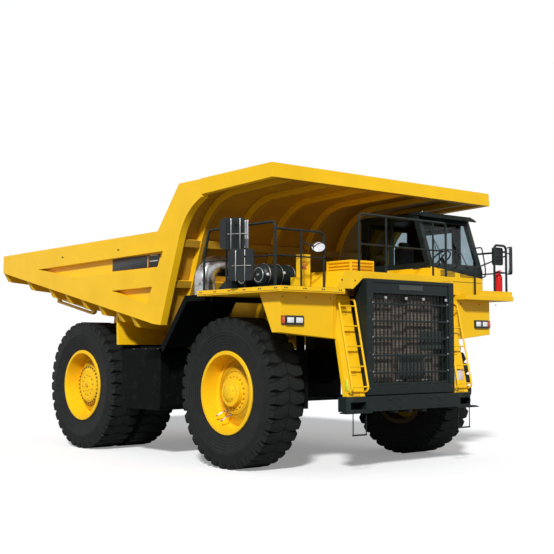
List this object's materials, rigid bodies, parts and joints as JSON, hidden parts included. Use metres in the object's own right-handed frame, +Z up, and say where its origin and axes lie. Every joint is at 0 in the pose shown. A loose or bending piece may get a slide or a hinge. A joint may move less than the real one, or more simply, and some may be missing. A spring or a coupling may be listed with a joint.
{
  "type": "mining dump truck",
  "caption": "Rigid two-axle mining dump truck with a tipping body, canopy over the cab, dual rear wheels, steered front wheels and ladders.",
  "frame": {"origin": "centre of the bounding box, on the ground under the tyres", "axes": "+X forward, +Y to the driver's left (cab side), +Z up"},
  "size_m": [10.29, 6.28, 5.085],
  "materials": {
    "yellow_paint": "gloss",
    "dark_paint": "satin",
    "axle_black": "matte",
    "tyre_rubber": "matte",
    "dark_plastic": "matte",
    "core_grey": "matte",
    "engine_iron": "matte",
    "bright_steel": "polished",
    "cab_glass": "clear",
    "seat_cloth": "woven",
    "duct_steel": "satin",
    "red_paint": "gloss",
    "lamp_lens": "clear"
  },
  "bodies": {
    "chassis": {"hood_cowl": "yellow_paint", "deck_right": "yellow_paint", "deck_left": "yellow_paint", "ladders": "yellow_paint", "deck_cabinet": "yellow_paint", "frame_rails": "dark_paint", "frame_crossmembers": "dark_paint", "deck_supports": "dark_paint", "front_bumper": "dark_paint", "grille_frame": "dark_paint", "grille_mesh": "dark_paint", "mudguards": "dark_paint", "handrails": "dark_paint", "air_cleaners": "dark_paint", "fuel_tank": "dark_paint", "oil_tank": "dark_paint", "cab_shell": "dark_paint", "cab_roof": "dark_paint", "cab_console": "dark_plastic", "mirrors": "dark_plastic", "radiator_core": "core_grey", "front_struts": "axle_black", "rear_axle": "axle_black", "engine_block": "engine_iron", "gearbox": "engine_iron", "cab_glass": "cab_glass", "cab_seat": "seat_cloth", "fire_extinguisher": "red_paint", "headlamps": "lamp_lens", "exhaust_duct": "duct_steel"},
    "dump_body": {"body_floor": "yellow_paint", "body_ribs": "yellow_paint", "body_rails": "yellow_paint", "body_side_left": "yellow_paint", "body_side_right": "yellow_paint", "body_headboard": "yellow_paint", "body_canopy": "yellow_paint", "body_brackets": "yellow_paint"},
    "cab_door": {"cab_door": "dark_paint", "door_glass": "cab_glass"},
    "hoist_barrel_left": {"hoist_barrel_left": "dark_paint"},
    "hoist_barrel_right": {"hoist_barrel_right": "dark_paint"},
    "hoist_rod_left": {"hoist_rod_left": "bright_steel"},
    "hoist_rod_right": {"hoist_rod_right": "bright_steel"},
    "knuckle_left": {"knuckle_left": "axle_black"},
    "knuckle_right": {"knuckle_right": "axle_black"},
    "tie_rod": {"tie_rod": "axle_black"},
    "wheel_front_left": {"tyre_front_left": "tyre_rubber", "rim_front_left": "yellow_paint"},
    "wheel_front_right": {"tyre_front_right": "tyre_rubber", "rim_front_right": "yellow_paint"},
    "wheels_rear_left": {"tyres_rear_left": "tyre_rubber", "rim_rear_left": "yellow_paint"},
    "wheels_rear_right": {"tyres_rear_right": "tyre_rubber", "rim_rear_right": "yellow_paint"}
  },
  "joints": [
    {"name": "dump_hinge", "type": "hinge", "parent": "chassis", "child": "dump_body", "pos_m": [-3.49, 0, 2.11], "axis": [0, -1, 0], "range_deg": [0, 48]},
    {"name": "hoist_swing_left", "type": "hinge", "parent": "chassis", "child": "hoist_barrel_left", "pos_m": [-0.6, 0.215, 1.05], "axis": [0, -1, 0], "range_deg": [-0.5, 0.1]},
    {"name": "hoist_slide_left", "type": "slide", "parent": "hoist_barrel_left", "child": "hoist_rod_left", "axis": [-0.6044, 0, 0.7967], "range_m": [0, 1.4902]},
    {"name": "hoist_swing_right", "type": "hinge", "parent": "chassis", "child": "hoist_barrel_right", "pos_m": [-0.6, -0.215, 1.05], "axis": [0, -1, 0], "range_deg": [-0.5, 0.1]},
    {"name": "hoist_slide_right", "type": "slide", "parent": "hoist_barrel_right", "child": "hoist_rod_right", "axis": [-0.6044, 0, 0.7967], "range_m": [0, 1.4902]},
    {"name": "steer_left", "type": "hinge", "parent": "chassis", "child": "knuckle_left", "pos_m": [2.995, 1.48, 1.305], "axis": [0, 0, 1], "range_deg": [-36, 36]},
    {"name": "steer_right", "type": "hinge", "parent": "chassis", "child": "knuckle_right", "pos_m": [2.995, -1.48, 1.305], "axis": [0, 0, 1], "range_deg": [-36, 36]},
    {"name": "tie_rod_pin", "type": "hinge", "parent": "knuckle_left", "child": "tie_rod", "pos_m": [2.475, 1.48, 1.127], "axis": [0, 0, 1], "range_deg": [-36, 36]},
    {"name": "wheel_front_left", "type": "hinge", "parent": "knuckle_left", "child": "wheel_front_left", "pos_m": [2.995, 2.1625, 1.305], "axis": [0, 1, 0], "continuous": true},
    {"name": "wheel_front_right", "type": "hinge", "parent": "knuckle_right", "child": "wheel_front_right", "pos_m": [2.995, -2.1625, 1.305], "axis": [0, 1, 0], "continuous": true},
    {"name": "wheels_rear_left", "type": "hinge", "parent": "chassis", "child": "wheels_rear_left", "pos_m": [-1.955, 1.75, 1.305], "axis": [0, 1, 0], "continuous": true},
    {"name": "wheels_rear_right", "type": "hinge", "parent": "chassis", "child": "wheels_rear_right", "pos_m": [-1.955, -1.75, 1.305], "axis": [0, 1, 0], "continuous": true},
    {"name": "door_hinge", "type": "hinge", "parent": "chassis", "child": "cab_door", "pos_m": [3.12, 2.35, 3.8], "axis": [0, 0, 1], "range_deg": [0, 85]}
  ],
  "couplings": [
    {"joint": "hoist_swing_left", "follows": "dump_hinge", "ratio": -0.008379},
    {"joint": "hoist_slide_left", "follows": "dump_hinge", "m_per_rad": 1.7788},
    {"joint": "hoist_swing_right", "follows": "dump_hinge", "ratio": -0.008379},
    {"joint": "hoist_slide_right", "follows": "dump_hinge", "m_per_rad": 1.7788},
    {"joint": "steer_right", "follows": "steer_left", "ratio": 1},
    {"joint": "tie_rod_pin", "follows": "steer_left", "ratio": -1}
  ]
}
